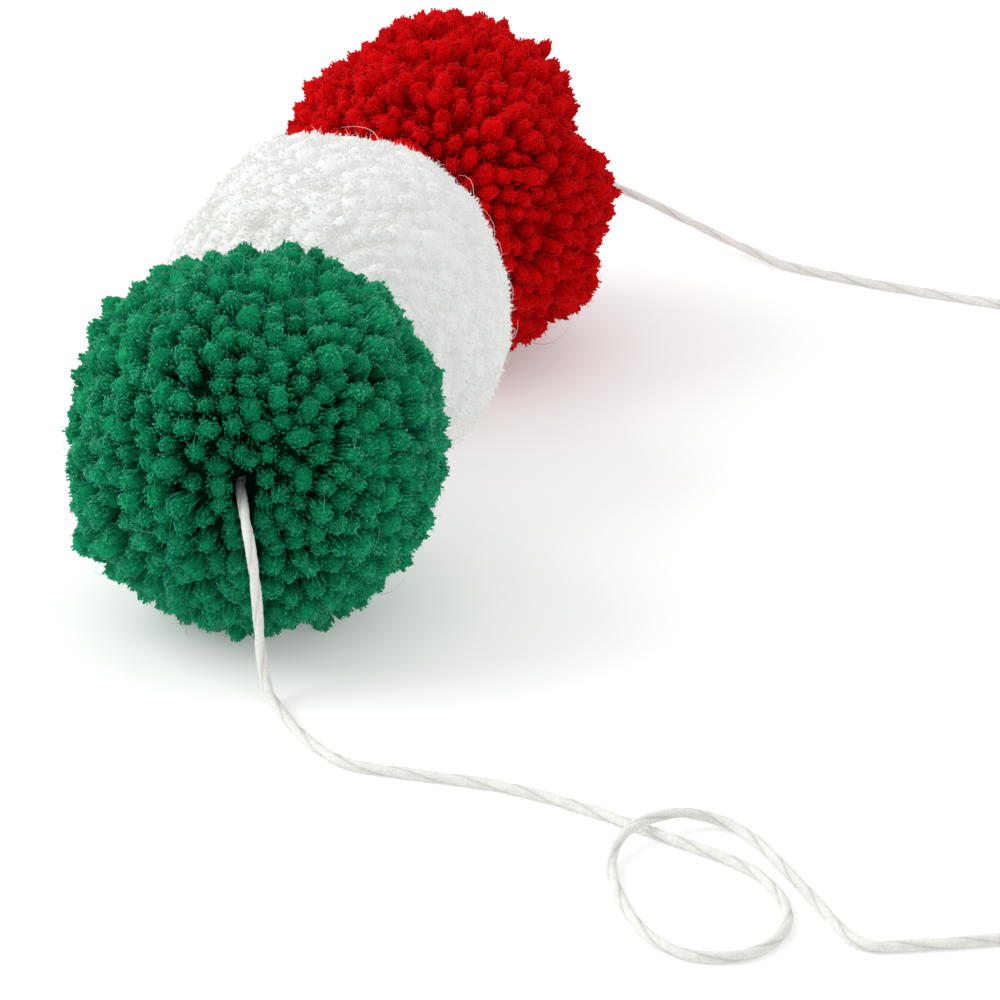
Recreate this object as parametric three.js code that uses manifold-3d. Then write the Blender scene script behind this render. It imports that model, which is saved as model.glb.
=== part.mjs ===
// A yarn pompom garland: three cut-yarn pompoms pushed together on one plied string.
// Millimetres, +Z up. The row runs along Y, rests on z = 0, and has its string laid out in front and behind.

import * as THREE from 'three';
import { mergeVertices } from 'three/addons/utils/BufferGeometryUtils.js';
import Module from 'manifold-3d';

// Pompom sizes
const POMPOM_RADIUS = 32.5;       // middle to the cut yarn ends
const MIDDLE_HEIGHT = 30.8;       // a little less than the radius: the underside is pressed flat
const HEART_RADIUS = 27;          // the dense middle, where the locks have their roots, at its corners
const ROOT_RADIUS = 20;           // where a lock starts, inside the heart
const LOCK_PITCH = 12.5;          // from one lock to the next along a row
const LOCK_ROWS = 9;              // rows of locks from the front pole to the back one
const POLE_PARTING = 2.8;         // the yarn parts this far from the string, where it goes in and out
const LOCK_GAP = 1.2;             // between locks of a row, at the cut ends
const ROW_GAP = 1.7;              // between rows of locks
const SHOULDER_SHARE = 0.9;       // a lock starts to round off at this share of its reach
const END_WIDTH_SHARE = 0.54;     // width of a lock's cut end
const REACH_SPREAD = 0.03;        // locks differ in length by this share of the radius
const CELL_SPREAD = 0.17;         // and in width by this share of their pitch
const ROW_SPREAD = 0.6;           // locks stand out of their row by this much
const ROW_STAGGER = 2.4;          // turn from one row of locks to the next, in radians
const PRESSED_ANGLE = 0.46;       // locks within this angle of straight down are splayed flat on the floor
const PRESSED_REACH = 1.1;        // and would be this much longer than the radius without it
const CONTACT_GAP = 0.3;          // between pompoms that press on each other, and round the string

// String sizes
const STRING_DIAMETER = 1.8;
const STRING_SIDES = 8;
const PLY_COUNT = 2;
const PLY_NOTCH = 0.26;           // depth of the groove between plies, as a share of the radius
const TWIST_PITCH = 20;           // length of one full turn of the plies
const STRING_STEP = 2.8;
const FLOOR_LIFT = 0.05;
const CHANNEL_MARGIN = 4;         // the way cut for it through a pompom goes this far past the yarn ends
const LYING = STRING_DIAMETER / 2 + FLOOR_LIFT;

// Overhand knot at each end of the string
const KNOT_SCALE = 1.45;          // a third of its radius
const KNOT_LIFT = 1.75;           // half the height between strands that cross
const KNOT_OPENING = 0.6;         // angle left out of the closed knot where the two ends leave
const KNOT_STEPS = 26;
const KNOT_LEAD = [[5.2, -3.05], [3.5, -3.0], [2.1, -2.7]];   // way in and out, in units of the scale

const GREEN = 0x14824f;
const WHITE = 0xe6e6e3;
const RED = 0xc80a14;
const STRING_WHITE = 0xe8ebe6;
const YARN_ROUGHNESS = 0.95;

const vec = (x, y, z) => new THREE.Vector3(x, y, z);

// name, middle, colour and seed of each pompom, from the front of the row to the back
const POMPOMS = [
  { name: 'pompom_green', middle: vec(1.28, -58.56, MIDDLE_HEIGHT), colour: GREEN, seed: 11 },
  { name: 'pompom_white', middle: vec(-1.28, -2.13, MIDDLE_HEIGHT), colour: WHITE, seed: 23 },
  { name: 'pompom_red', middle: vec(1.28, 58.56, MIDDLE_HEIGHT), colour: RED, seed: 37 },
];

// The string's route, from where it leaves the front pompom: down its face, along the floor, round one loop
const FRONT_TAIL = [
  vec(5.0, -78.7, 32.1),
  vec(6.4, -82.6, 32.2),
  vec(7.8, -86.0, 31.5),
  vec(9.0, -88.4, 29.5),
  vec(9.9, -89.3, 26.1),
  vec(10.4, -88.6, 17.8),
  vec(11.6, -90.2, 7.3),
  vec(13.3, -92.4, 2.5),
  vec(16.2, -95.7, 1.15),
  vec(20.5, -101.1, LYING),
  vec(26.4, -106.9, LYING),
  vec(32.4, -110.3, LYING),
  vec(40.7, -110.8, LYING),
  vec(57.0, -111.2, LYING),
  vec(70.7, -114.6, LYING),
  vec(84.7, -120.1, LYING),
  vec(97.5, -125.4, LYING),
  vec(102.0, -128.6, LYING),
  vec(106.2, -134.0, LYING),
  vec(108.3, -138.9, LYING),
  vec(108.4, -144.9, LYING),
  vec(106.2, -149.9, LYING),
  vec(102.4, -152.9, LYING),
  vec(96.8, -153.8, LYING),
  vec(90.9, -151.0, LYING),
  vec(85.7, -144.8, LYING),
  vec(81.5, -136.7, LYING),
  vec(79.4, -130.5, 1.5),
  vec(79.4, -126.0, 2.3),
  vec(81.1, -121.5, 3.0),
  vec(84.2, -118.0, 3.2),
  vec(87.5, -115.4, 2.7),
  vec(92.0, -114.4, 1.7),
  vec(97.2, -116.4, 1.05),
  vec(109.4, -131.0, LYING),
  vec(116.9, -141.2, LYING),
  vec(119.0, -143.5, LYING),
  vec(121.8, -144.6, LYING),
  vec(125.6, -143.6, LYING),
  vec(139.9, -137.9, LYING),
];

// and from where it leaves the back pompom: out, down to the floor in a slack arc, and away to the side
const BACK_TAIL = [
  vec(1.3, 91.0, 30.8),
  vec(1.6, 95.0, 30.5),
  vec(3.6, 100.5, 28.6),
  vec(8.0, 106.0, 24.4),
  vec(14.2, 110.5, 18.8),
  vec(21.3, 113.7, 13.7),
  vec(26.7, 115.3, 11.0),
  vec(34.9, 116.0, 7.3),
  vec(43.3, 115.5, 4.1),
  vec(51.9, 113.4, 1.8),
  vec(57.0, 111.6, 1.05),
  vec(64.9, 109.3, LYING),
  vec(75.4, 106.7, LYING),
  vec(91.4, 104.0, LYING),
  vec(101.9, 102.5, LYING),
];

const wasm = await Module();
wasm.setup();

// A closed solid from rings of points, each ring with as many points as the next, capped flat at both ends
function ringSolid(rings) {
  const sides = rings[0].length;
  const positions = rings.flat().flatMap((point) => point.toArray());
  const triangles = [];
  for (let ring = 0; ring + 1 < rings.length; ring += 1) {
    for (let side = 0; side < sides; side += 1) {
      const near = ring * sides + side;
      const nearNext = ring * sides + ((side + 1) % sides);
      triangles.push(near, nearNext, nearNext + sides);
      triangles.push(near, nearNext + sides, near + sides);
    }
  }
  const last = (rings.length - 1) * sides;
  for (let side = 1; side + 1 < sides; side += 1) {
    triangles.push(0, side + 1, side);
    triangles.push(last, last + side, last + side + 1);
  }
  const geometry = new THREE.BufferGeometry();
  geometry.setAttribute('position', new THREE.Float32BufferAttribute(positions, 3));
  geometry.setIndex(triangles);
  return geometry;
}

function toManifold(geometry) {
  return new wasm.Manifold(new wasm.Mesh({
    numProp: 3,
    vertProperties: new Float32Array(geometry.attributes.position.array),
    triVerts: new Uint32Array(geometry.index.array),
  }));
}

function fromManifold(solid) {
  const mesh = solid.getMesh();
  const geometry = new THREE.BufferGeometry();
  geometry.setAttribute('position', new THREE.Float32BufferAttribute(mesh.vertProperties, 3));
  geometry.setIndex(Array.from(mesh.triVerts));
  return geometry;
}

// Direction from a pompom's middle: an angle from the front pole, and a turn round the row that starts below
function direction(fromFront, turn) {
  const wide = Math.sin(fromFront);
  return vec(wide * Math.sin(turn), -Math.cos(fromFront), -wide * Math.cos(turn));
}

// The flat limits of a pompom's yarn: the floor, and the plane halfway to each neighbour
function limitPlanes(index) {
  const { middle } = POMPOMS[index];
  const planes = [{ normal: vec(0, 0, -1), distance: middle.z }];
  for (const neighbour of [POMPOMS[index - 1], POMPOMS[index + 1]]) {
    if (neighbour) {
      const across = neighbour.middle.clone().sub(middle);
      const distance = (across.length() - CONTACT_GAP) / 2;
      planes.push({ normal: across.normalize(), distance });
    }
  }
  return planes;
}

// How far yarn of a given reach gets along a direction before it meets a limit
function reachAlong(way, reach, planes) {
  let result = reach;
  for (const { normal, distance } of planes) {
    const slope = way.dot(normal);
    if (slope * result > distance) {
      result = distance / slope;
    }
  }
  return result;
}

// One four-sided lock of yarn: straight from its root, rounding off to a flat cut end
function lockGeometry({ fromFront, turn, halfHeight, halfTurn, reach, middle, planes }) {
  const corners = [[-1, -1], [1, -1], [1, 1], [-1, 1]];
  const ring = (widthShare, radiusAlong) => corners.map(([up, round]) => {
    const way = direction(fromFront + up * halfHeight * widthShare, turn + round * halfTurn * widthShare);
    return middle.clone().addScaledVector(way, radiusAlong(way));
  });
  return ringSolid([
    ring(1, () => ROOT_RADIUS),
    ring(1, (way) => SHOULDER_SHARE * reachAlong(way, reach, planes)),
    ring(END_WIDTH_SHARE, (way) => reachAlong(way, reach, planes)),
  ]);
}

// A lock's own length: most vary a little, those below press on the floor
function lockReach(way, spread) {
  const varied = POMPOM_RADIUS * (1 + spread(REACH_SPREAD));
  const pressed = -way.z > Math.cos(PRESSED_ANGLE);
  return pressed ? POMPOM_RADIUS * PRESSED_REACH : varied;
}

// Uneven cuts between the locks of one row, as turns, with a lock straight below in the middle row
function rowCuts(row, count, spread) {
  const start = (row - (LOCK_ROWS - 1) / 2) * ROW_STAGGER;
  const cuts = Array.from({ length: count }, (_, place) => place - 0.5 + spread(CELL_SPREAD));
  cuts.push(cuts[0] + count);
  return cuts.map((cut) => start + (2 * Math.PI * cut) / count);
}

function pompomSolid(index, channel) {
  const { middle, seed } = POMPOMS[index];
  const planes = limitPlanes(index);
  const random = THREE.MathUtils.seededRandom;
  random(seed);
  const spread = (share) => (2 * random() - 1) * share;
  const heart = new THREE.IcosahedronGeometry(HEART_RADIUS);
  heart.deleteAttribute('normal');
  heart.deleteAttribute('uv');
  heart.translate(middle.x, middle.y, middle.z);
  let solid = toManifold(mergeVertices(heart));
  const poleAngle = POLE_PARTING / POMPOM_RADIUS;
  const rowAngle = (Math.PI - 2 * poleAngle) / LOCK_ROWS;
  for (let row = 0; row < LOCK_ROWS; row += 1) {
    const fromFront = poleAngle + (row + 0.5) * rowAngle;
    const rowRadius = POMPOM_RADIUS * Math.sin(fromFront);
    const count = Math.round((2 * Math.PI * rowRadius) / LOCK_PITCH);
    const cuts = rowCuts(row, count, spread);
    for (let place = 0; place < count; place += 1) {
      const lockFromFront = fromFront + spread(ROW_SPREAD) / POMPOM_RADIUS;
      const turn = (cuts[place] + cuts[place + 1]) / 2;
      const lock = lockGeometry({
        fromFront: lockFromFront,
        turn,
        halfHeight: (rowAngle - ROW_GAP / POMPOM_RADIUS) / 2,
        halfTurn: (cuts[place + 1] - cuts[place] - LOCK_GAP / rowRadius) / 2,
        reach: lockReach(direction(lockFromFront, turn), spread),
        middle,
        planes,
      });
      solid = solid.add(toManifold(lock));
    }
  }
  return fromManifold(solid.subtract(channel));
}

// Rings of a section carried along a line of points without turning, but for the given twist
function carriedRings(centres, radiusAt, sides, twistPitch) {
  const normal = vec(0, 0, 1);
  let travelled = 0;
  return centres.map((centre, index) => {
    const before = centres[Math.max(index - 1, 0)];
    const after = centres[Math.min(index + 1, centres.length - 1)];
    const along = after.clone().sub(before).normalize();
    normal.addScaledVector(along, -normal.dot(along)).normalize();
    const side = along.clone().cross(normal);
    travelled += index > 0 ? centre.distanceTo(before) : 0;
    const turned = (2 * Math.PI * travelled) / twistPitch;
    return Array.from({ length: sides }, (_, corner) => {
      const angle = (2 * Math.PI * corner) / sides;
      const radius = radiusAt(angle);
      return centre.clone()
        .addScaledVector(normal, radius * Math.cos(angle + turned))
        .addScaledVector(side, radius * Math.sin(angle + turned));
    });
  });
}

// An overhand knot lying flat, on from the string's end at `start`, with its cut end coming down to the floor
function knotPoints(start, along) {
  const level = along.clone().setZ(0).normalize();
  const across = vec(-level.y, level.x, 0);
  const [leadFar, leadDepth] = KNOT_LEAD[0];
  const place = (x, y, height) => start.clone()
    .addScaledVector(level, (leadFar - x) * KNOT_SCALE)
    .addScaledVector(across, (y - leadDepth) * KNOT_SCALE)
    .setZ(LYING + KNOT_LIFT + height);
  const wayIn = KNOT_LEAD.slice(1).map(([x, y]) => place(x, y, -KNOT_LIFT));
  const wayOut = KNOT_LEAD.map(([x, y], step) => place(-x, y, KNOT_LIFT * (step - 1))).reverse();
  const body = [];
  for (let step = 0; step <= KNOT_STEPS; step += 1) {
    const turn = (Math.PI - KNOT_OPENING) * ((2 * step) / KNOT_STEPS - 1);
    const x = Math.sin(turn) + 2 * Math.sin(2 * turn);
    const y = Math.cos(turn) - 2 * Math.cos(2 * turn);
    body.push(place(x, y, KNOT_LIFT * Math.sin(3 * turn)));
  }
  return [...wayIn, ...body, ...wayOut];
}

// Even steps along a smooth curve through the given points
function evenSteps(points) {
  const curve = new THREE.CatmullRomCurve3(points);
  return curve.getSpacedPoints(Math.round(curve.getLength() / STRING_STEP));
}

function endKnot(tail) {
  const end = tail[tail.length - 1];
  const along = end.clone().sub(tail[tail.length - 2]);
  return knotPoints(end, along);
}

function stringCentres() {
  const threaded = [...FRONT_TAIL].reverse().concat(POMPOMS.map(({ middle }) => middle), BACK_TAIL);
  return [...endKnot(FRONT_TAIL).reverse(), ...evenSteps(threaded), ...endKnot(BACK_TAIL)];
}

function stringGeometry(centres) {
  const notch = (angle) => PLY_NOTCH * Math.sin((angle * PLY_COUNT) / 2) ** 2;
  const radiusAt = (angle) => (STRING_DIAMETER / 2) * (1 - notch(angle));
  return ringSolid(carriedRings(centres, radiusAt, STRING_SIDES, TWIST_PITCH));
}

// The way that the string needs through the yarn
function channelSolid(centres) {
  const reach = POMPOM_RADIUS + CHANNEL_MARGIN;
  const near = centres.filter((centre) => POMPOMS.some(({ middle }) => middle.distanceTo(centre) < reach));
  const radius = STRING_DIAMETER / 2 + CONTACT_GAP;
  return toManifold(ringSolid(carriedRings(near, () => radius, STRING_SIDES, Infinity)));
}

function yarnMesh(name, geometry, colour) {
  const material = new THREE.MeshStandardMaterial({ color: colour, roughness: YARN_ROUGHNESS, metalness: 0 });
  const mesh = new THREE.Mesh(geometry, material);
  mesh.name = name;
  return mesh;
}

const garland = new THREE.Group();
const centres = stringCentres();
const channel = channelSolid(centres);
POMPOMS.forEach(({ name, colour }, index) => {
  garland.add(yarnMesh(name, pompomSolid(index, channel), colour));
});
garland.add(yarnMesh('string', stringGeometry(centres), STRING_WHITE));

export default garland;
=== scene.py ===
"""Looks of a yarn pompom garland: three cut-yarn pompoms pushed together on one plied string."""

from collections import namedtuple
import math

import bpy
import numpy as np
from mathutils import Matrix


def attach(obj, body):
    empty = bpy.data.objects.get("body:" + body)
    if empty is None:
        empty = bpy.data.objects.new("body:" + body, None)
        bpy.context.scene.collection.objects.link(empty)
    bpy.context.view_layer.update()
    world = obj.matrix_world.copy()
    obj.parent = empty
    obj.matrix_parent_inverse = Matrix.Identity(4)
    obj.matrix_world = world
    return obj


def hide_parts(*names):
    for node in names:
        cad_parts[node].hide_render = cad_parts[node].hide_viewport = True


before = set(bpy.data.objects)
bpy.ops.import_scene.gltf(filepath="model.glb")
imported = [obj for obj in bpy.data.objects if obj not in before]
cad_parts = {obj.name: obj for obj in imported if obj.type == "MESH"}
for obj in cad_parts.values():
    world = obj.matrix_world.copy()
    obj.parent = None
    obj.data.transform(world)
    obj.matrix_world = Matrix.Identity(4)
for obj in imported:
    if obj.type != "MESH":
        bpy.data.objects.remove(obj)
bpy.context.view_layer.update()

# Lengths are in millimetres up to the moment a mesh, light or camera is made
MM = 0.001
FLOOR_CLEARANCE = 0.05        # nothing comes nearer to the floor than this
TINY = 1e-6                   # keeps a division from failing
STEEP = 0.9                   # a direction that rises by more than this is taken as upright

# Pompom sizes, as the solids have them
POMPOM_RADIUS = 32.5
MIDDLE_HEIGHT = 30.8
CONTACT_GAP = 0.3
GREEN_MIDDLE = (1.28, -58.56, MIDDLE_HEIGHT)
WHITE_MIDDLE = (-1.28, -2.13, MIDDLE_HEIGHT)
RED_MIDDLE = (1.28, 58.56, MIDDLE_HEIGHT)
MIDDLES = [GREEN_MIDDLE, WHITE_MIDDLE, RED_MIDDLE]

# Shades are numbers from 0, deep between the tufts, to 1, at the lightest hairs: painted shade in the deep
# parts and a painted highlight on the cut ends and hairs

# Where tufts stand, and how they differ
ROOT_RADIUS = 21.0            # where a tuft starts, under the surface that shows
ROOT_SHARE = 0.8              # or at this share of a short tuft's reach
WIDTH_SPREAD = 0.24           # tufts differ in width by this share
WIDTH_LIMITS = (-1.6, 1.5)    # but by no more than these many spreads
REACH_SPREAD = 0.022          # and in reach by this share
NUDGE = 0.03                  # each tuft stands this far off an even spacing, on a ball of radius 1
CLUMP_LEAN = 0.04             # neighbours lean together by about this much
CLUMP_SWELL = 0.55            # and the surface swells and dips by about this much
CLUMP_WAVES = 14
CLUMP_FREQUENCY = 12.0
CLUMP_RANGE = (0.5, 1.5)      # waves have from and to these shares of that frequency
EVEN_ROUNDS = 2               # small moves that close wide holes between the tufts
EVEN_SHARE = 0.3
EVEN_SPACING = 1.12           # tufts nearer than this share of the mean spacing move apart
STRING_ROOM = 1.3             # yarn keeps this far from the string's middle line

# The dense middle that closes the view between tufts, given the gap colour as painted shade deep between them
HEART_DIVISIONS = 5
HEART_SHADE = 0.0

# The dense core of a tuft
CORE_SIDES = 6
CORE_SHARE = 0.78             # of the tuft's width
CORE_STEM = [(0.0, 0.6), (0.55, 0.9)]                # share of its length from the root, share of its width
CORE_DOME = [(1.0, 1.0), (0.4, 0.84), (0.1, 0.46)]   # share of the crown below its end, share of its width
CROWN_LIMIT = 0.3             # a crown is measured on a half width of at most this share of the length
OVAL_SPREAD = 0.16            # cores are out of round by about this share
CORE_LUMPS = 0.05
CORE_SHADE = 0.62             # at its end, from 0 at the root: painted shade that darkens it towards the root, deep between the tufts
CORE_FADE = 1.5               # power by which the shade rises along it
CORE_TINT = 0.05              # tufts differ in shade by this much

# Blunt fibres that make up the tufts
FIBRE_COUNT = 38000           # on one pompom
FIBRE_RADIUS = 0.22           # at the cut end
FIBRE_UNEVEN = 0.28           # ends stand up or down by at most this much
FIBRE_SPREAD = 1.08           # half widths from the tuft's middle to its outermost fibres
FIBRE_STARTS = (0.35, 0.6)    # fibres start at these shares of the tuft's length
FIBRE_START_SPREAD = 0.75     # and stand at this share of their ends' distance from its middle there
# Fibres have painted shade towards their bases and round the rim of a tuft's end, and a painted highlight at
# their cut ends
FIBRE_BASE_SHADE = 0.5
FIBRE_TIP_SHADE = 0.76
FIBRE_RIM_SHADE = 0.1         # outermost ends have painted shade, darker by about this much
FIBRE_TINT = 0.07

# Fine hairs on the tufts' ends, counted on one pompom
HAIR_ROOT = 0.25              # hairs start this far under a tuft's end
HAIR_TINT = 0.08
DOME_HAIRS = 16000            # straight ones
DOME_RADIUS = 0.05
DOME_LENGTHS = (0.6, 1.6)
DOME_OUTWARD = 0.45           # how much they stand up
DOME_TANGLE = 0.6             # and how much they point anywhere
DOME_LEAST_RISE = 0.15
# straight hairs are painted lighter than the body, a painted highlight where fuzz catches light
DOME_SHADE = 0.84
CURLED_HAIRS = 3000           # ones that bend over
CURLED_RADIUS = 0.045
CURLED_LENGTHS = (0.9, 1.9)
CURLED_TAPER = 0.8            # share of the radius left at the bend
# curled hairs are painted lighter than the body, a painted highlight where fuzz catches light
CURLED_SHADE = 0.86
BELOW_BEND = (0.55, 0.7, 0.5)   # share of the length, and how much it goes outward and sideways
ABOVE_BEND = (0.5, 0.1, 0.4)    # share of the length, and how much it goes outward and anywhere

# Long loose hairs that lie over the surface
STRAY_COUNT = 90              # on one pompom
STRAY_RADIUS = 0.06
STRAY_TAPER = 0.7             # share of the radius lost towards the end
STRAY_LENGTHS = (3.0, 7.0)
STRAY_STEPS = 5
STRAY_START = 0.97            # share of a tuft's reach
STRAY_BEND = 0.9              # how far it curves to one side, as a share of its length
STRAY_RISE = 0.35             # and how far it stands up
STRAY_ARCH = 0.8              # share of a half turn that its rise follows
# stray hairs are painted nearly the tip colour, a painted highlight where they catch light
STRAY_SHADE = 0.95

# The hollow where the string leaves the front pompom, and the track that the string lies in below it
HOLLOW_TOP = (8.6, -89.6, 37.0)
HOLLOW_STEPS = 12
HOLLOW_PARTING = 4.2          # tufts stand this far from the hollow's middle line
TRACK_PARTING = 3.0           # and this far from the string's line below
TRACK_FROM = 27.0             # the track starts and ends at these distances from the pompom's middle
TRACK_TO = 34.5
HOLLOW_FLOOR = 17.0           # from the pompom's middle to the bottom of the hollow
HOLLOW_WIDTH = 4.5            # of the hollow in the dense middle
HOLLOW_DIP = 2.0              # tufts round the hollow are shorter by this much
HOLLOW_DIP_WIDTH = 8.0
HOLLOW_SLIMMING = 0.3         # and slimmer by this share, over a wider patch
HOLLOW_SLIM_WIDTH = 26.0
HOLLOW_PAINTED_SHADE = 0.17         # and have painted shade, darker by this much, over the same patch

# Lobes of the pompoms' outlines: turn from the right in degrees, extra reach, half width in degrees
LOBE_DEPTH = 28               # how far a lobe goes to the front and back, in degrees
GREEN_LOBES = [
    (46, 1.4, 14), (105, 0.8, 9), (140, 1.0, 8), (167, -1.4, 14), (209, 1.2, 8),
    (240, 1.0, 12), (260, 0.8, 9), (300, 0.8, 16),
]
WHITE_LOBES = [(112, 1.5, 9), (140, -1.3, 9), (15, -1.0, 20)]
RED_LOBES = [
    (-32, 2.2, 9), (-50, 1.0, 8), (21, -5.0, 8), (31, -2.4, 6), (60, 1.2, 14),
    (85, 1.2, 12), (100, 2.0, 8), (132, -0.8, 10), (150, -1.0, 8),
]

# Tufts that stick out of the outline: turn from the right in degrees, reach
GREEN_LOOSE = [(206, 35.0), (211, 35.6), (137, 34.6)]

# Tufts is how many cut yarn ends there are, and reach is from the pompom's middle to most of them.
# Width is half a tuft's, heart is the dense middle's radius, and depth is how far fibres stand past a core.
# Crown is how far a tuft's sides drop below its end, in half widths, and uneven is how irregular tufts are.
Pompom = namedtuple("Pompom", "node slot seed tufts reach width heart depth crown uneven lobes loose")
GREEN = Pompom(
    "pompom_green", "green_yarn", 11, 780, 32.0, 2.85, 26.5, 0.4, 1.0, 1.1, GREEN_LOBES, GREEN_LOOSE)
WHITE = Pompom(
    "pompom_white", "white_yarn", 23, 1000, 31.4, 3.1, 29.3, 0.42, 0.55, 0.55, WHITE_LOBES, [])
RED = Pompom(
    "pompom_red", "red_yarn", 37, 1000, 32.2, 2.3, 27.0, 0.4, 1.3, 1.2, RED_LOBES, [])

# String sizes
STRING_SEED = 5
STRING_DIAMETER = 1.8
PLY_COUNT = 2
PLY_GROOVE = 0.2              # depth of the groove between plies, as a share of the radius
PLY_SHARPNESS = 8             # a higher power makes a narrower groove
TWIST_PITCH = 20.0
STRING_UNEVEN = 0.03          # its radius varies by this share
STRING_SIDES = 20
STRING_STEP = 0.6
CURVE_STEPS = 60              # from one point of the route to the next, before it is cut into even steps
GROOVE_SHADE = 0.6            # painted shade: the groove is darker by this much
STRING_END_SHADE = 0.5
LYING = STRING_DIAMETER / 2 + FLOOR_CLEARANCE

# Overhand knot at each end of the string
KNOT_SCALE = 1.45             # millimetres for one unit of the knot's formula
KNOT_LIFT = 1.75              # its line goes up and down by this much
KNOT_OPENING = 0.6            # the turn that its formula leaves out at each end, in radians
KNOT_STEPS = 26
KNOT_LEAD = [(5.2, -3.05), (3.5, -3.0), (2.1, -2.7)]

# The string's route, from where it leaves the front pompom: down its face, along the floor, round one loop
FRONT_TAIL = [
    (5.0, -78.7, 32.1),
    (6.4, -82.6, 32.2),
    (7.8, -86.0, 31.5),
    (9.0, -88.4, 29.5),
    (9.9, -89.3, 26.1),
    (10.4, -88.6, 17.8),
    (11.6, -90.2, 7.3),
    (13.3, -92.4, 2.5),
    (16.2, -95.7, 1.15),
    (20.5, -101.1, LYING),
    (26.4, -106.9, LYING),
    (32.4, -110.3, LYING),
    (40.7, -110.8, LYING),
    (57.0, -111.2, LYING),
    (70.7, -114.6, LYING),
    (84.7, -120.1, LYING),
    (97.5, -125.4, LYING),
    (102.0, -128.6, LYING),
    (106.2, -134.0, LYING),
    (108.3, -138.9, LYING),
    (108.4, -144.9, LYING),
    (106.2, -149.9, LYING),
    (102.4, -152.9, LYING),
    (96.8, -153.8, LYING),
    (90.9, -151.0, LYING),
    (85.7, -144.8, LYING),
    (81.5, -136.7, LYING),
    (79.4, -130.5, 1.5),
    (79.4, -126.0, 2.3),
    (81.1, -121.5, 3.0),
    (84.2, -118.0, 3.2),
    (87.5, -115.4, 2.7),
    (92.0, -114.4, 1.7),
    (97.2, -116.4, 1.05),
    (109.4, -131.0, LYING),
    (116.9, -141.2, LYING),
    (119.0, -143.5, LYING),
    (121.8, -144.6, LYING),
    (125.6, -143.6, LYING),
    (139.9, -137.9, LYING),
]

# and from where it leaves the back pompom: out, down to the floor in a slack arc, and away to the side
BACK_TAIL = [
    (1.3, 91.0, 30.8),
    (1.6, 95.0, 30.5),
    (3.6, 100.5, 28.6),
    (8.0, 106.0, 24.4),
    (14.2, 110.5, 18.8),
    (21.3, 113.7, 13.7),
    (26.7, 115.3, 11.0),
    (34.9, 116.0, 7.3),
    (43.3, 115.5, 4.1),
    (51.9, 113.4, 1.8),
    (57.0, 111.6, 1.05),
    (64.9, 109.3, LYING),
    (75.4, 106.7, LYING),
    (91.4, 104.0, LYING),
    (101.9, 102.5, LYING),
]


def unit(vectors):
    return vectors / np.linalg.norm(vectors, axis=-1, keepdims=True)


def linear(red, green, blue):
    """A screen colour of 0 to 255 as the linear colour that a shader takes."""
    shares = np.array([red, green, blue]) / 255
    return (*np.where(shares <= 0.04045, shares / 12.92, ((shares + 0.055) / 1.055) ** 2.4), 1.0)


# Camera at the photo's viewing angle
CAMERA_PLACE = (215.66, -718.24, 344.2)
CAMERA_TURN = (64.9, 0.0, 14.65)
CAMERA_LENS = 164.5
SENSOR_WIDTH = 36.0
TILT, _, SWING = np.radians(CAMERA_TURN)
VIEW_RIGHT = np.array([math.cos(SWING), math.sin(SWING), 0.0])
VIEW_UP = np.array([-math.sin(SWING) * math.cos(TILT), math.cos(SWING) * math.cos(TILT), math.sin(TILT)])


def make_camera():
    data = bpy.data.cameras.new("camera")
    data.lens = CAMERA_LENS
    data.sensor_width = SENSOR_WIDTH
    camera = bpy.data.objects.new("camera", data)
    camera.location = [MM * x for x in CAMERA_PLACE]
    camera.rotation_euler = [math.radians(x) for x in CAMERA_TURN]
    bpy.context.scene.collection.objects.link(camera)
    bpy.context.scene.camera = camera


def mesh_object(name, points, triangles, material, shade, smooth=True):
    """One joined mesh from arrays, points in millimetres, with a shade at each point for its material."""
    mesh = bpy.data.meshes.new(name)
    mesh.vertices.add(len(points))
    mesh.vertices.foreach_set("co", (points * MM).astype(np.float32).ravel())
    mesh.loops.add(triangles.size)
    mesh.loops.foreach_set("vertex_index", triangles.astype(np.int32).ravel())
    mesh.polygons.add(len(triangles))
    mesh.polygons.foreach_set("loop_start", np.arange(0, triangles.size, 3, dtype=np.int32))
    mesh.polygons.foreach_set("use_smooth", np.full(len(triangles), smooth))
    mesh.update(calc_edges=True)
    attribute = mesh.attributes.new("shade", "FLOAT", "POINT")
    attribute.data.foreach_set("value", shade.astype(np.float32))
    mesh.materials.append(material)
    piece = bpy.data.objects.new(name, mesh)
    bpy.context.scene.collection.objects.link(piece)
    return piece


def repeated(triangles, count, points_each):
    """The triangles of one small mesh, for `count` copies whose points follow each other."""
    starts = np.arange(count) * points_each
    return (triangles[None] + starts[:, None, None]).reshape(-1, 3)


def tube_triangles(rings, sides):
    """Triangles of a closed tube whose rings of points follow each other, then a point for each end."""
    triangles = []
    for ring in range(rings - 1):
        for side in range(sides):
            near = ring * sides + side
            near_next = ring * sides + (side + 1) % sides
            triangles.append((near, near_next, near_next + sides))
            triangles.append((near, near_next + sides, near + sides))
    first_end = rings * sides
    last = (rings - 1) * sides
    for side in range(sides):
        after = (side + 1) % sides
        triangles.append((first_end, after, side))
        triangles.append((first_end + 1, last + side, last + after))
    return np.array(triangles)


# Materials, with scales in features for each metre and lengths in metres
PATCH_SCALE = 420.0
FLECK_SCALE = 2600.0
FLECK_SHARE = 1.3             # flecks swing this many times as much as patches
GRAIN_SCALE = 2600.0
GRAIN_DEPTH = 0.0004
NOISE_DETAIL = 3.0
NOISE_RANGE = (0.38, 0.62)    # most of a noise lies between these
SCATTER_LENGTH = 0.0012
YARN_GLOSS = 0.05
YARN_SHEEN = 0.1
SHEEN_ROUGHNESS = 0.45
GAP_SHADE = 0.1               # shades that have the gap's, the body's and the tip's colour
BODY_SHADE = 0.66
TIP_SHADE = 1.0
FLOOR_TONE = 0.77
FLOOR_GLOW = 0.28
FLOOR_ROUGHNESS = 0.9
FLOOR_GLOSS = 0.1
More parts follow.
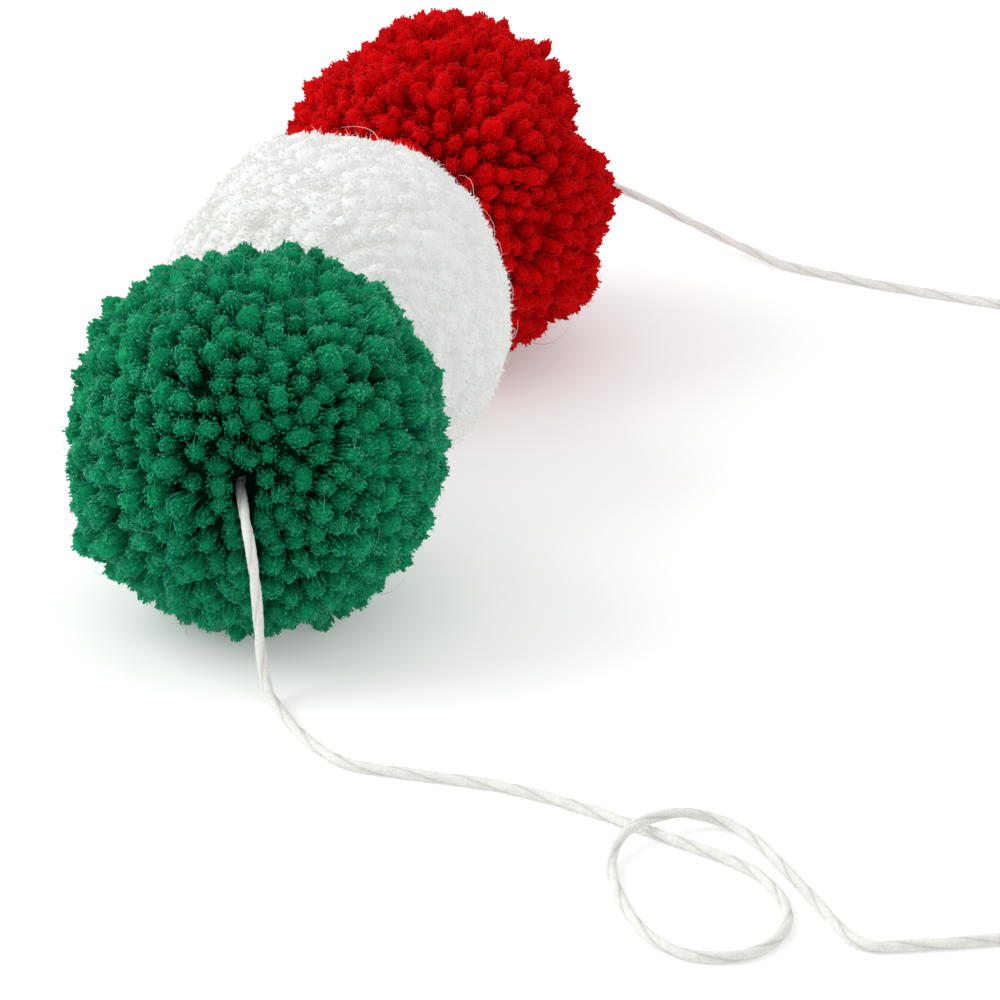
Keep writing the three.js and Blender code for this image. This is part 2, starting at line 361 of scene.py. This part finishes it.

# Gap, body and tip are the colours deep between tufts, on their sides and at their ends: the gap colour is
# painted shade, in the string's grooves too, and the tip colour a painted highlight.
# Mottle is how much these vary, grain is how rough the yarn is, and scatter is how much light goes in.
# Glow is painted light: an emission that stands for the light that bright wool scatters through its pile, and
# fills its shadows.
Yarn = namedtuple("Yarn", "name gap body tip mottle grain scatter glow")
# the string's gap colour is painted shade in the grooves between its plies
STRING_YARN = Yarn("string", (176, 176, 168), (228, 228, 223), (232, 232, 227), 0.03, 0.5, 0.0, 0.0)
GREEN_YARN = Yarn("green_yarn", (0, 56, 32), (16, 145, 93), (66, 192, 138), 0.16, 0.7, 0.3, 0.0)
# the white yarn glows, painted light that fills its shadows
WHITE_YARN = Yarn("white_yarn", (193, 194, 191), (193, 194, 191), (193, 193, 192), 0.01, 0.0, 0.0, 0.57)
RED_YARN = Yarn("red_yarn", (195, 1, 3), (208, 4, 8), (220, 22, 26), 0.08, 0.5, 0.3, 0.0)


def shader_of(material):
    material.use_nodes = True
    nodes = material.node_tree.nodes
    return nodes, material.node_tree.links, nodes["Principled BSDF"]


def noise_of(nodes, links, place, scale):
    noise = nodes.new("ShaderNodeTexNoise")
    noise.inputs["Scale"].default_value = scale
    noise.inputs["Detail"].default_value = NOISE_DETAIL
    links.new(place.outputs["Object"], noise.inputs["Vector"])
    return noise.outputs["Fac"]


def speckle(nodes, links, place, scale, swing):
    """A noise of the given scale, as a number that swings about 1."""
    strength = nodes.new("ShaderNodeMapRange")
    strength.inputs["From Min"].default_value, strength.inputs["From Max"].default_value = NOISE_RANGE
    strength.inputs["To Min"].default_value = 1 - swing
    strength.inputs["To Max"].default_value = 1 + swing
    links.new(noise_of(nodes, links, place, scale), strength.inputs["Value"])
    return strength.outputs["Result"]


def scaled(nodes, links, colour, strength):
    result = nodes.new("ShaderNodeVectorMath")
    result.operation = "SCALE"
    links.new(colour, result.inputs[0])
    links.new(strength, result.inputs["Scale"])
    return result.outputs["Vector"]


def yarn_material(yarn):
    """Matt wool: painted shade where it is deep, a painted highlight at the cut ends, mottled, with a soft
    sheen and fine grain.
    """
    material = bpy.data.materials.new(yarn.name)
    nodes, links, shader = shader_of(material)
    shader.inputs["Roughness"].default_value = 1.0
    shader.inputs["Specular IOR Level"].default_value = YARN_GLOSS
    shader.inputs["Sheen Weight"].default_value = YARN_SHEEN
    shader.inputs["Sheen Roughness"].default_value = SHEEN_ROUGHNESS
    shader.inputs["Sheen Tint"].default_value = linear(*yarn.tip)
    shader.inputs["Subsurface Weight"].default_value = yarn.scatter
    shader.inputs["Subsurface Radius"].default_value = (1.0, 1.0, 1.0)
    shader.inputs["Subsurface Scale"].default_value = SCATTER_LENGTH
    # painted light: a glow in the tip's colour, for yarns that have one
    shader.inputs["Emission Color"].default_value = linear(*yarn.tip)
    shader.inputs["Emission Strength"].default_value = yarn.glow
    depth = nodes.new("ShaderNodeAttribute")
    depth.attribute_name = "shade"
    # painted shade deep between the tufts and a painted highlight at the ends, from the shade attribute
    ramp = nodes.new("ShaderNodeValToRGB")
    ramp.color_ramp.elements[0].position = GAP_SHADE
    ramp.color_ramp.elements[0].color = linear(*yarn.gap)
    ramp.color_ramp.elements[1].position = TIP_SHADE
    ramp.color_ramp.elements[1].color = linear(*yarn.tip)
    middle = ramp.color_ramp.elements.new(BODY_SHADE)
    middle.color = linear(*yarn.body)
    links.new(depth.outputs["Fac"], ramp.inputs["Fac"])
    place = nodes.new("ShaderNodeTexCoord")
    patches = speckle(nodes, links, place, PATCH_SCALE, yarn.mottle)
    flecks = speckle(nodes, links, place, FLECK_SCALE, FLECK_SHARE * yarn.mottle)
    patched = scaled(nodes, links, ramp.outputs["Color"], patches)
    links.new(scaled(nodes, links, patched, flecks), shader.inputs["Base Color"])
    bump = nodes.new("ShaderNodeBump")
    bump.inputs["Strength"].default_value = yarn.grain
    bump.inputs["Distance"].default_value = GRAIN_DEPTH
    links.new(noise_of(nodes, links, place, GRAIN_SCALE), bump.inputs["Height"])
    links.new(bump.outputs["Normal"], shader.inputs["Normal"])
    return material


def floor_material():
    material = bpy.data.materials.new("pale_floor")
    _, _, shader = shader_of(material)
    shader.inputs["Base Color"].default_value = (FLOOR_TONE, FLOOR_TONE, FLOOR_TONE, 1.0)
    shader.inputs["Emission Color"].default_value = (1.0, 1.0, 1.0, 1.0)
    shader.inputs["Emission Strength"].default_value = FLOOR_GLOW
    shader.inputs["Roughness"].default_value = FLOOR_ROUGHNESS
    shader.inputs["Specular IOR Level"].default_value = FLOOR_GLOSS
    return material


# String

def smooth_line(points, step):
    """Even steps along a smooth curve through the points, which stays close to them where they are uneven."""
    points = np.array(points, float)
    first = 2 * points[0] - points[1]
    last = 2 * points[-1] - points[-2]
    padded = np.vstack([first, points, last])
    fine = []
    for start in range(len(points) - 1):
        p0, p1, p2, p3 = padded[start:start + 4]
        t1 = np.linalg.norm(p1 - p0) ** 0.5
        t2 = t1 + np.linalg.norm(p2 - p1) ** 0.5
        t3 = t2 + np.linalg.norm(p3 - p2) ** 0.5
        t = np.linspace(t1, t2, CURVE_STEPS, endpoint=False)[:, None]
        a1 = (t1 - t) / t1 * p0 + t / t1 * p1
        a2 = (t2 - t) / (t2 - t1) * p1 + (t - t1) / (t2 - t1) * p2
        a3 = (t3 - t) / (t3 - t2) * p2 + (t - t2) / (t3 - t2) * p3
        b1 = (t2 - t) / t2 * a1 + t / t2 * a2
        b2 = (t3 - t) / (t3 - t1) * a2 + (t - t1) / (t3 - t1) * a3
        fine.append((t2 - t) / (t2 - t1) * b1 + (t - t1) / (t2 - t1) * b2)
    fine = np.vstack([*fine, points[-1:]])
    travelled = travelled_along(fine)
    even = np.linspace(0, travelled[-1], round(travelled[-1] / step) + 1)
    return np.column_stack([np.interp(even, travelled, fine[:, axis]) for axis in range(3)])


def travelled_along(line):
    """The way travelled from a line's start to each of its points."""
    return np.r_[0, np.cumsum(np.linalg.norm(np.diff(line, axis=0), axis=1))]


def carried_frames(line):
    """Normal and side directions down a line, carried without turning."""
    along = unit(np.gradient(line, axis=0))
    normals = np.empty_like(line)
    normal = np.array([0.0, 0.0, 1.0])
    for index, way in enumerate(along):
        normal = unit(normal - way * (normal @ way))
        normals[index] = normal
    return normals, np.cross(along, normals)


def knot_line(start, along):
    """An overhand knot lying flat, on from the string's end, with its cut end coming down to the floor."""
    level = unit(np.array([along[0], along[1], 0.0]))
    across = np.array([-level[1], level[0], 0.0])
    lead_far, lead_depth = KNOT_LEAD[0]

    def place(x, y, height):
        flat = start + level * (lead_far - x) * KNOT_SCALE + across * (y - lead_depth) * KNOT_SCALE
        return np.array([flat[0], flat[1], LYING + KNOT_LIFT + height])

    way_in = [place(x, y, -KNOT_LIFT) for x, y in KNOT_LEAD[1:]]
    way_out = [place(-x, y, KNOT_LIFT * (step - 1)) for step, (x, y) in enumerate(KNOT_LEAD)][::-1]
    body = []
    for turn in np.linspace(KNOT_OPENING - math.pi, math.pi - KNOT_OPENING, KNOT_STEPS + 1):
        x = math.sin(turn) + 2 * math.sin(2 * turn)
        y = math.cos(turn) - 2 * math.cos(2 * turn)
        body.append(place(x, y, KNOT_LIFT * math.sin(3 * turn)))
    return np.array([start, *way_in, *body, *way_out])


def plied_tube(line, rng):
    """Points and triangles of a twisted string along a line, with painted shade low in the grooves."""
    normals, sides = carried_frames(line)
    travelled = travelled_along(line)
    angle = np.linspace(0, 2 * np.pi, STRING_SIDES, endpoint=False)
    groove = np.abs(np.sin(angle * PLY_COUNT / 2)) ** PLY_SHARPNESS
    turned = angle[None] + (2 * np.pi / TWIST_PITCH) * travelled[:, None]
    uneven = 1 + STRING_UNEVEN * rng.standard_normal((len(line), STRING_SIDES))
    radius = STRING_DIAMETER / 2 * (1 - PLY_GROOVE * groove)[None] * uneven
    rings = (
        line[:, None]
        + normals[:, None] * (radius * np.cos(turned))[..., None]
        + sides[:, None] * (radius * np.sin(turned))[..., None]
    )
    rings[..., 2] = np.maximum(rings[..., 2], FLOOR_CLEARANCE)
    points = np.vstack([rings.reshape(-1, 3), line[:1], line[-1:]])
    shade = np.r_[np.tile(1 - GROOVE_SHADE * groove, len(line)), STRING_END_SHADE, STRING_END_SHADE]
    return points, tube_triangles(len(line), STRING_SIDES), shade


# Yarn of a pompom

def limit_planes(index):
    """The flat limits of a pompom's yarn, as (normal, distance): the floor, and halfway to each neighbour."""
    middle = np.array(MIDDLES[index])
    planes = [(np.array([0.0, 0.0, -1.0]), middle[2] - FLOOR_CLEARANCE)]
    for neighbour in MIDDLES[max(index - 1, 0):index + 2]:
        across = np.array(neighbour) - middle
        distance = np.linalg.norm(across)
        if distance > 0:
            planes.append((across / distance, (distance - CONTACT_GAP) / 2))
    return planes


def reach_along(ways, reach, planes):
    """How far yarn of a given reach gets along each direction before it meets a limit."""
    result = reach.copy()
    for normal, distance in planes:
        slope = ways @ normal
        limit = distance / np.maximum(slope, TINY)
        result = np.minimum(result, limit)
    return result


def hold_inside(points, planes):
    """Points, measured from the pompom's middle, pressed back where they would pass a limit."""
    for normal, distance in planes:
        over = np.maximum(points @ normal - distance, 0)
        points = points - over[:, None] * normal
    return points


def spread_directions(count, nudge, rng):
    """Nearly even directions all round, on a spiral that turns by the golden ratio."""
    index = np.arange(count) + 0.5
    polar = np.arccos(1 - 2 * index / count)
    turn = np.pi * (1 + 5 ** 0.5) * index
    ways = np.column_stack([np.sin(polar) * np.cos(turn), np.cos(polar), np.sin(polar) * np.sin(turn)])
    return unit(ways + nudge * rng.standard_normal((count, 3)))


def soft_field(ways, rng):
    """A smooth random vector at each direction."""
    total = np.zeros_like(ways)
    for _ in range(CLUMP_WAVES):
        wave = unit(rng.standard_normal(3)) * CLUMP_FREQUENCY * rng.uniform(*CLUMP_RANGE)
        total += rng.standard_normal(3) * np.sin(ways @ wave + rng.uniform(0, 2 * np.pi))[:, None]
    return total / CLUMP_WAVES ** 0.5


def across_frames(axes):
    """Two directions square to each axis and to each other."""
    helper = np.where(np.abs(axes[:, 2:]) < STEEP, [[0.0, 0.0, 1.0]], [[1.0, 0.0, 0.0]])
    first = unit(np.cross(axes, helper))
    return first, np.cross(axes, first)


def away_from_line(points, line, room):
    """Points that lie within `room` of a line of points, pushed out to that distance."""
    near = np.flatnonzero((points > line.min(0) - room).all(1) & (points < line.max(0) + room).all(1))
    offsets, gap, _ = nearest_in(points[near], line)
    inside = gap < room
    outward = offsets[inside] / np.maximum(gap[inside], TINY)[:, None]
    points = points.copy()
    points[near[inside]] += outward * (room - gap[inside])[:, None]
    return points


def outline_way(turn):
    """The direction from a pompom's middle to a place on its outline, a turn in degrees from the right."""
    angle = math.radians(turn)
    return math.cos(angle) * VIEW_RIGHT + math.sin(angle) * VIEW_UP


def lobe_lift(ways, lobes):
    """How much longer the yarn is along each direction, from the lobes of the pompom's outline."""
    turns = np.degrees(np.arctan2(ways @ VIEW_UP, ways @ VIEW_RIGHT))
    away = np.degrees(np.arcsin((ways @ np.cross(VIEW_RIGHT, VIEW_UP)).clip(-1, 1)))
    lift = np.zeros(len(ways))
    for turn, height, spread in lobes:
        off = (turns - turn + 180) % 360 - 180
        lift += height * np.exp(-(off / spread) ** 2 - (away / LOBE_DEPTH) ** 2)
    return lift


def nearest_in(places, track):
    """The offset to each place from the nearest point of a track, how far that is, and which it was."""
    offsets = places[:, None] - track[None]
    distances = np.linalg.norm(offsets, axis=2)
    closest = distances.argmin(1)
    rows = np.arange(len(places))
    return offsets[rows, closest], distances[rows, closest], closest


def parted(ways, track):
    """Directions pushed aside where they come near the string's track over the pompom."""
    offsets, gap, closest = nearest_in(ways, track)
    room = np.where(closest < HOLLOW_STEPS, HOLLOW_PARTING, TRACK_PARTING) / POMPOM_RADIUS
    push = np.maximum(room - gap, 0) / np.maximum(gap, TINY)
    return unit(ways + offsets * push[:, None])


def evened(ways, track):
    """Directions moved apart where they crowd, so that no wide hole is left, and still clear of the track."""
    # Points on a ball of radius 1 in an even six-sided pattern are this far apart
    even = (8 * np.pi / 3 ** 0.5 / len(ways)) ** 0.5
    spacing = EVEN_SPACING * even
    for _ in range(EVEN_ROUNDS):
        offsets = ways[:, None] - ways[None]
        distances = np.linalg.norm(offsets, axis=2)
        push = np.maximum(spacing - distances, 0) / np.maximum(distances, TINY)
        ways = unit(ways + EVEN_SHARE * (offsets * push[..., None]).sum(1))
        if len(track):
            ways = parted(ways, track)
    return ways


def string_track(line, middle):
    """Directions from the front pompom's middle to its hollow, and to the string that lies on the yarn."""
    places = line - middle
    distance = np.linalg.norm(places, axis=1)
    shown = (places[:, 1] < 0) & (distance > TRACK_FROM) & (distance < TRACK_TO)
    top = np.array(HOLLOW_TOP) - middle
    first = places[shown][np.abs(distance[shown] - TRACK_FROM).argmin()]
    hollow = np.linspace(top, first, HOLLOW_STEPS)
    return unit(np.vstack([hollow, places[shown]]))


def hollow_depth(ways, track, width):
    """From 1 in the hollow that the string comes out of to 0 away from it."""
    gap = np.min([np.linalg.norm(ways - step, axis=1) for step in track[:HOLLOW_STEPS]], axis=0)
    return np.exp(-(gap * POMPOM_RADIUS / width) ** 2)


def tufts_of(pompom, planes, track, rng):
    """Root, tip, axis and half width of each tuft, measured from the pompom's middle."""
    ways = spread_directions(pompom.tufts, NUDGE * pompom.uneven, rng)
    leaning = unit(ways + CLUMP_LEAN * pompom.uneven * soft_field(ways, rng))
    reach = pompom.reach * (1 + REACH_SPREAD * pompom.uneven * rng.standard_normal(pompom.tufts))
    reach += CLUMP_SWELL * pompom.uneven * soft_field(ways, rng)[:, 0]
    widths = pompom.width * (1 + WIDTH_SPREAD * rng.standard_normal(pompom.tufts).clip(*WIDTH_LIMITS))
    placed = evened(leaning, track)
    ways = unit(ways + placed - leaning)
    leaning = placed
    if len(track):
        reach -= HOLLOW_DIP * hollow_depth(leaning, track, HOLLOW_DIP_WIDTH)
        widths *= 1 - HOLLOW_SLIMMING * hollow_depth(leaning, track, HOLLOW_SLIM_WIDTH)
    reach += lobe_lift(leaning, pompom.lobes)
    for turn, loose_reach in pompom.loose:
        nearest = (leaning @ outline_way(turn)).argmax()
        leaning[nearest] = outline_way(turn)
        reach[nearest] = loose_reach
    tips = leaning * reach_along(leaning, reach, planes)[:, None]
    roots = ways * np.minimum(ROOT_RADIUS, ROOT_SHARE * np.linalg.norm(tips, axis=1))[:, None]
    return roots, tips, unit(tips - roots), widths


def tuft_cores(roots, tips, axes, widths, depth, crown, rng):
    """The dense, round-ended body of every tuft."""
    count = len(roots)
    first, second = across_frames(axes)
    profile = np.array([width for _, width in CORE_STEM + CORE_DOME])
    angle = np.linspace(0, 2 * np.pi, CORE_SIDES, endpoint=False)
    phase = rng.uniform(0, 2 * np.pi, (count, 1, 1))
    oval = 1 + OVAL_SPREAD * np.sin(2 * angle[None, None] + phase)
    lumps = 1 + CORE_LUMPS * rng.standard_normal((count, len(profile), CORE_SIDES))
    radius = CORE_SHARE * widths[:, None, None] * profile[None, :, None] * oval * lumps
    ends = tips - axes * depth
    length = np.linalg.norm(ends - roots, axis=1)[:, None]
    stem = np.array([share for share, _ in CORE_STEM]) * length
    below = crown * np.array([share for share, _ in CORE_DOME])
    dome = length - below * np.minimum(widths[:, None], CROWN_LIMIT * length)
    along = np.concatenate([stem, dome], axis=1)
    centres = roots[:, None] + axes[:, None] * along[..., None]
    rings = (
        centres[:, :, None]
        + first[:, None, None] * (radius * np.cos(angle))[..., None]
        + second[:, None, None] * (radius * np.sin(angle))[..., None]
    )
    points = np.concatenate([rings.reshape(count, -1, 3), roots[:, None], ends[:, None]], axis=1)
    tint = CORE_TINT * rng.standard_normal((count, 1))
    # painted shade: darker towards the root, deep between the tufts, with a random tint for each tuft
    shade = np.repeat(CORE_SHADE * (along / length) ** CORE_FADE, CORE_SIDES, axis=1) + tint
    shade = np.concatenate([shade, np.zeros((count, 1)), CORE_SHADE + tint], axis=1)
    triangles = repeated(tube_triangles(len(profile), CORE_SIDES), count, points.shape[1])
    return points.reshape(-1, 3), triangles, shade.ravel()


# Triangles of a fibre: its base has points 0 to 2, a bend has 3 to 5, and the last point is its tip
NEEDLE = np.array([(0, 1, 3), (1, 2, 3), (2, 0, 3), (0, 2, 1)])
CURLED_NEEDLE = np.array([
    (0, 1, 4), (0, 4, 3), (1, 2, 5), (1, 5, 4), (2, 0, 3), (2, 3, 5),
    (3, 4, 6), (4, 5, 6), (5, 3, 6), (0, 2, 1),
])


def corners_round(centres, axes, radius):
    """Three points round each centre, square to its axis."""
    first, second = across_frames(axes)
    angles = np.linspace(0, 2 * np.pi, 3, endpoint=False)
    return [centres + radius * (math.cos(angle) * first + math.sin(angle) * second) for angle in angles]


def needles(bases, tips, radius, base_shade, tip_shade):
    """Three-sided straight fibres that run out to a point."""
    points = np.stack([*corners_round(bases, unit(tips - bases), radius), tips], axis=1)
    shade = np.stack([base_shade] * 3 + [tip_shade], axis=1)
    return points.reshape(-1, 3), repeated(NEEDLE, len(bases), points.shape[1]), shade.ravel()


def curled_needles(bases, elbows, tips, radius, shade):
    """Three-sided fibres with one bend."""
    lower = corners_round(bases, unit(elbows - bases), radius)
    upper = corners_round(elbows, unit(tips - bases), CURLED_TAPER * radius)
    points = np.stack([*lower, *upper, tips], axis=1)
    triangles = repeated(CURLED_NEEDLE, len(bases), points.shape[1])
    return points.reshape(-1, 3), triangles, np.repeat(shade, points.shape[1])


def blunt_fibres(roots, tips, axes, widths, crown, rng):
    """The fibres of each tuft, thin at their roots and widest at the cut ends, which make a soft dome."""
    tuft = np.repeat(np.arange(len(roots)), FIBRE_COUNT // len(roots))
    count = len(tuft)
    first, second = across_frames(axes)
    turn = rng.uniform(0, 2 * np.pi, (count, 1))
    off = FIBRE_SPREAD * rng.uniform(0, 1, (count, 1)) ** 0.5
    outward = first[tuft] * np.cos(turn) + second[tuft] * np.sin(turn)
    lateral = outward * off * widths[tuft, None]
    drop = widths[tuft, None] * crown * off ** 2
    uneven = rng.uniform(-FIBRE_UNEVEN, FIBRE_UNEVEN, (count, 1))
    ends = tips[tuft] + lateral - axes[tuft] * (drop + uneven)
    start = rng.uniform(*FIBRE_STARTS, (count, 1))
    bases = roots[tuft] + (tips - roots)[tuft] * start + FIBRE_START_SPREAD * lateral
    tint = FIBRE_TINT * rng.standard_normal(count)
    # painted shade towards the base and round the rim, and a painted highlight at the cut end
    base_shade = FIBRE_BASE_SHADE + tint
    tip_shade = FIBRE_TIP_SHADE - FIBRE_RIM_SHADE * off[:, 0] ** 2 + tint
    return needles(ends, bases, FIBRE_RADIUS, tip_shade, base_shade)


def dome_places(tips, axes, widths, crown, each, rng):
    """Random places on the rounded ends of the tufts, with the direction straight out of each."""
    tuft = np.repeat(np.arange(len(tips)), each)
    count = len(tuft)
    first, second = across_frames(axes)
    turn = rng.uniform(0, 2 * np.pi, (count, 1))
    off = rng.uniform(0, 1, (count, 1)) ** 0.5
    outward = first[tuft] * np.cos(turn) + second[tuft] * np.sin(turn)
    out = unit(axes[tuft] + outward * 2 * crown * off)
    width = widths[tuft, None]
    places = tips[tuft] + outward * off * width - axes[tuft] * (crown * width * off ** 2)
    return places - out * HAIR_ROOT, out


def dome_hairs(tips, axes, widths, crown, rng):
    """Fine straight hairs on each tuft's end, most of them lying nearly flat."""
    bases, out = dome_places(tips, axes, widths, crown, DOME_HAIRS // len(tips), rng)
    count = len(bases)
    way = unit(DOME_OUTWARD * out + DOME_TANGLE * rng.standard_normal((count, 3)))
    way = unit(way + out * np.maximum(DOME_LEAST_RISE - (way * out).sum(1), 0)[:, None])
    ends = bases + way * rng.uniform(*DOME_LENGTHS, (count, 1))
    shade = DOME_SHADE + HAIR_TINT * rng.standard_normal(count)
    return needles(bases, ends, DOME_RADIUS, shade, shade)


def curled_hairs(tips, axes, widths, crown, rng):
    """Fine hairs that leave each tuft's end and bend over."""
    bases, out = dome_places(tips, axes, widths, crown, CURLED_HAIRS // len(tips), rng)
    count = len(bases)
    length = rng.uniform(*CURLED_LENGTHS, (count, 1))
    sideways = unit(np.cross(out, rng.standard_normal((count, 3))))
    share, rise, aside = BELOW_BEND
    elbows = bases + length * unit(rise * out + aside * sideways) * share
    share, rise, tangle = ABOVE_BEND
    ends = elbows + length * unit(rise * out + sideways + tangle * rng.standard_normal((count, 3))) * share
    shade = CURLED_SHADE + HAIR_TINT * rng.standard_normal(count)
    return curled_needles(bases, elbows, ends, CURLED_RADIUS, shade)


def stray_hairs(tips, rng):
    """A few long, curved, loose hairs that lie over the surface."""
    chosen = rng.choice(len(tips), STRAY_COUNT, replace=False)
    starts = tips[chosen] * STRAY_START
    out = unit(starts)
    side = unit(np.cross(out, rng.standard_normal((STRAY_COUNT, 3))))
    length = rng.uniform(*STRAY_LENGTHS, STRAY_COUNT)
    bend = rng.uniform(-STRAY_BEND, STRAY_BEND, STRAY_COUNT)
    across = np.cross(out, side)
    share = np.linspace(0, 1, STRAY_STEPS + 1)
    rise = STRAY_RISE * np.sin(share * np.pi * STRAY_ARCH)
    lines = (
        starts[:, None]
        + side[:, None] * (length[:, None] * share)[..., None]
        + out[:, None] * (length[:, None] * rise)[..., None]
        + across[:, None] * (length[:, None] * bend[:, None] * share ** 2)[..., None]
    )
    angle = np.linspace(0, 2 * np.pi, 3, endpoint=False)
    taper = STRAY_RADIUS * (1 - STRAY_TAPER * share)
    rings = (
        lines[:, :, None]
        + out[:, None, None] * (taper[:, None] * np.cos(angle))[None, ..., None]
        + across[:, None, None] * (taper[:, None] * np.sin(angle))[None, ..., None]
    )
    points = np.concatenate([rings.reshape(STRAY_COUNT, -1, 3), lines[:, :1], lines[:, -1:]], axis=1)
    triangles = repeated(tube_triangles(STRAY_STEPS + 1, 3), STRAY_COUNT, points.shape[1])
    return points.reshape(-1, 3), triangles, np.full(len(points) * points.shape[1], STRAY_SHADE)


def heart_ball(radius, track):
    """The dense middle, a finely divided ball, hollowed where the string comes out."""
    bpy.ops.mesh.primitive_ico_sphere_add(subdivisions=HEART_DIVISIONS, radius=radius)
    ball = bpy.context.object
    points = np.array([vertex.co for vertex in ball.data.vertices])
    triangles = np.array([polygon.vertices for polygon in ball.data.polygons])
    bpy.data.objects.remove(ball)
    if len(track):
        depth = (radius - HOLLOW_FLOOR) * hollow_depth(unit(points), track, HOLLOW_WIDTH)
        points -= unit(points) * depth[:, None]
    # the whole ball gets the gap colour, painted shade deep between the tufts
    return points, triangles, np.full(len(points), HEART_SHADE)


def joined(parts):
    """Several (points, triangles, shade) as one."""
    starts = np.cumsum([0, *(len(points) for points, _, _ in parts[:-1])])
    return (
        np.vstack([points for points, _, _ in parts]),
        np.vstack([triangles + start for (_, triangles, _), start in zip(parts, starts)]),
        np.concatenate([shade for _, _, shade in parts]),
    )


def dress(piece, node):
    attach(piece, "root")
    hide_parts(node)
    return piece


def make_pompom(pompom, middle, planes, material, string_line, track):
    """A pompom as three pieces: its dense tufts, the fibres laid over them and its fuzz."""
    rng = np.random.default_rng(pompom.seed)
    tufts = tufts_of(pompom, planes, track, rng)
    _, tips, axes, widths = tufts
    heart = heart_ball(pompom.heart, track)
    cores = tuft_cores(*tufts, pompom.depth, pompom.crown, rng)
    fibres = blunt_fibres(*tufts, pompom.crown, rng)
    straight = dome_hairs(tips, axes, widths, pompom.crown, rng)
    curled = curled_hairs(tips, axes, widths, pompom.crown, rng)
    strays = stray_hairs(tips, rng)
    parts = [
        ("_tufts", joined([heart, cores]), True),
        ("_fibres", fibres, False),
        ("_fuzz", joined([straight, curled, strays]), False),
    ]
    for ending, (points, triangles, shade), smooth in parts:
        points = away_from_line(hold_inside(points, planes) + middle, string_line, STRING_ROOM)
        if len(track):
            # painted shade round the hollow that the string comes out of
            shade = shade - HOLLOW_PAINTED_SHADE * hollow_depth(unit(points - middle), track, HOLLOW_SLIM_WIDTH)
        piece = mesh_object(pompom.node + ending, points, triangles, material, shade, smooth)
        dress(piece, pompom.node)


# Light and floor, in metres and watts
FLOOR_SIZE = 6.0
KEY_PLACE = (-0.85, -0.2, 0.8)
KEY_SIZE = 0.8
KEY_POWER = 6.8
HORIZON_STRENGTH = 0.6        # the room's light is weaker from the side than from above
TOP_STRENGTH = 1.03


def make_floor():
    bpy.ops.mesh.primitive_plane_add(size=FLOOR_SIZE)
    floor = bpy.context.object
    floor.name = "floor"
    floor.data.materials.append(floor_material())


def make_lights():
    light = bpy.data.lights.new("key", "AREA")
    light.energy = KEY_POWER
    light.shape = "DISK"
    light.size = KEY_SIZE
    key = bpy.data.objects.new("key", light)
    key.location = KEY_PLACE
    key.rotation_euler = (-key.location).to_track_quat("-Z", "Y").to_euler()
    bpy.context.scene.collection.objects.link(key)
    world = bpy.data.worlds.new("studio")
    world.use_nodes = True
    nodes, links = world.node_tree.nodes, world.node_tree.links
    way = nodes.new("ShaderNodeTexCoord")
    parts = nodes.new("ShaderNodeSeparateXYZ")
    links.new(way.outputs["Generated"], parts.inputs["Vector"])
    brightness = nodes.new("ShaderNodeMapRange")
    brightness.inputs["To Min"].default_value = HORIZON_STRENGTH
    brightness.inputs["To Max"].default_value = TOP_STRENGTH
    links.new(parts.outputs["Z"], brightness.inputs["Value"])
    links.new(brightness.outputs["Result"], nodes["Background"].inputs["Strength"])
    nodes["Background"].inputs["Color"].default_value = (1.0, 1.0, 1.0, 1.0)
    bpy.context.scene.world = world
    bpy.context.scene.view_settings.view_transform = "Standard"


def make_string():
    """The string in three stretches and two knots. Returns the whole middle line."""
    rng = np.random.default_rng(STRING_SEED)
    material = yarn_material(STRING_YARN)

    def string_piece(name, stretch):
        points, triangles, shade = plied_tube(stretch, rng)
        return dress(mesh_object(name, points, triangles, material, shade), "string")

    line = smooth_line([*FRONT_TAIL[::-1], *MIDDLES, *BACK_TAIL], STRING_STEP)
    front_exit = np.linalg.norm(line - np.array(FRONT_TAIL[0]), axis=1).argmin()
    back_exit = np.linalg.norm(line - np.array(BACK_TAIL[0]), axis=1).argmin()
    stretches = {
        "string_front": line[:front_exit + 1][::-1],
        "string_threaded": line[front_exit:back_exit + 1],
        "string_back": line[back_exit:],
    }
    pieces = {name: string_piece(name, stretch) for name, stretch in stretches.items()}
    for name, knot_name in (("string_front", "knot_front"), ("string_back", "knot_back")):
        stretch = stretches[name]
        knot = smooth_line(knot_line(stretch[-1], stretch[-1] - stretch[-3]), STRING_STEP)
        string_piece(knot_name, knot)
    return line


make_camera()
STRING_LINE = make_string()
for index, (pompom, yarn) in enumerate([(GREEN, GREEN_YARN), (WHITE, WHITE_YARN), (RED, RED_YARN)]):
    middle = np.array(MIDDLES[index])
    track = string_track(STRING_LINE, middle) if pompom is GREEN else np.empty((0, 3))
    make_pompom(pompom, middle, limit_planes(index), yarn_material(yarn), STRING_LINE, track)
make_floor()
make_lights()
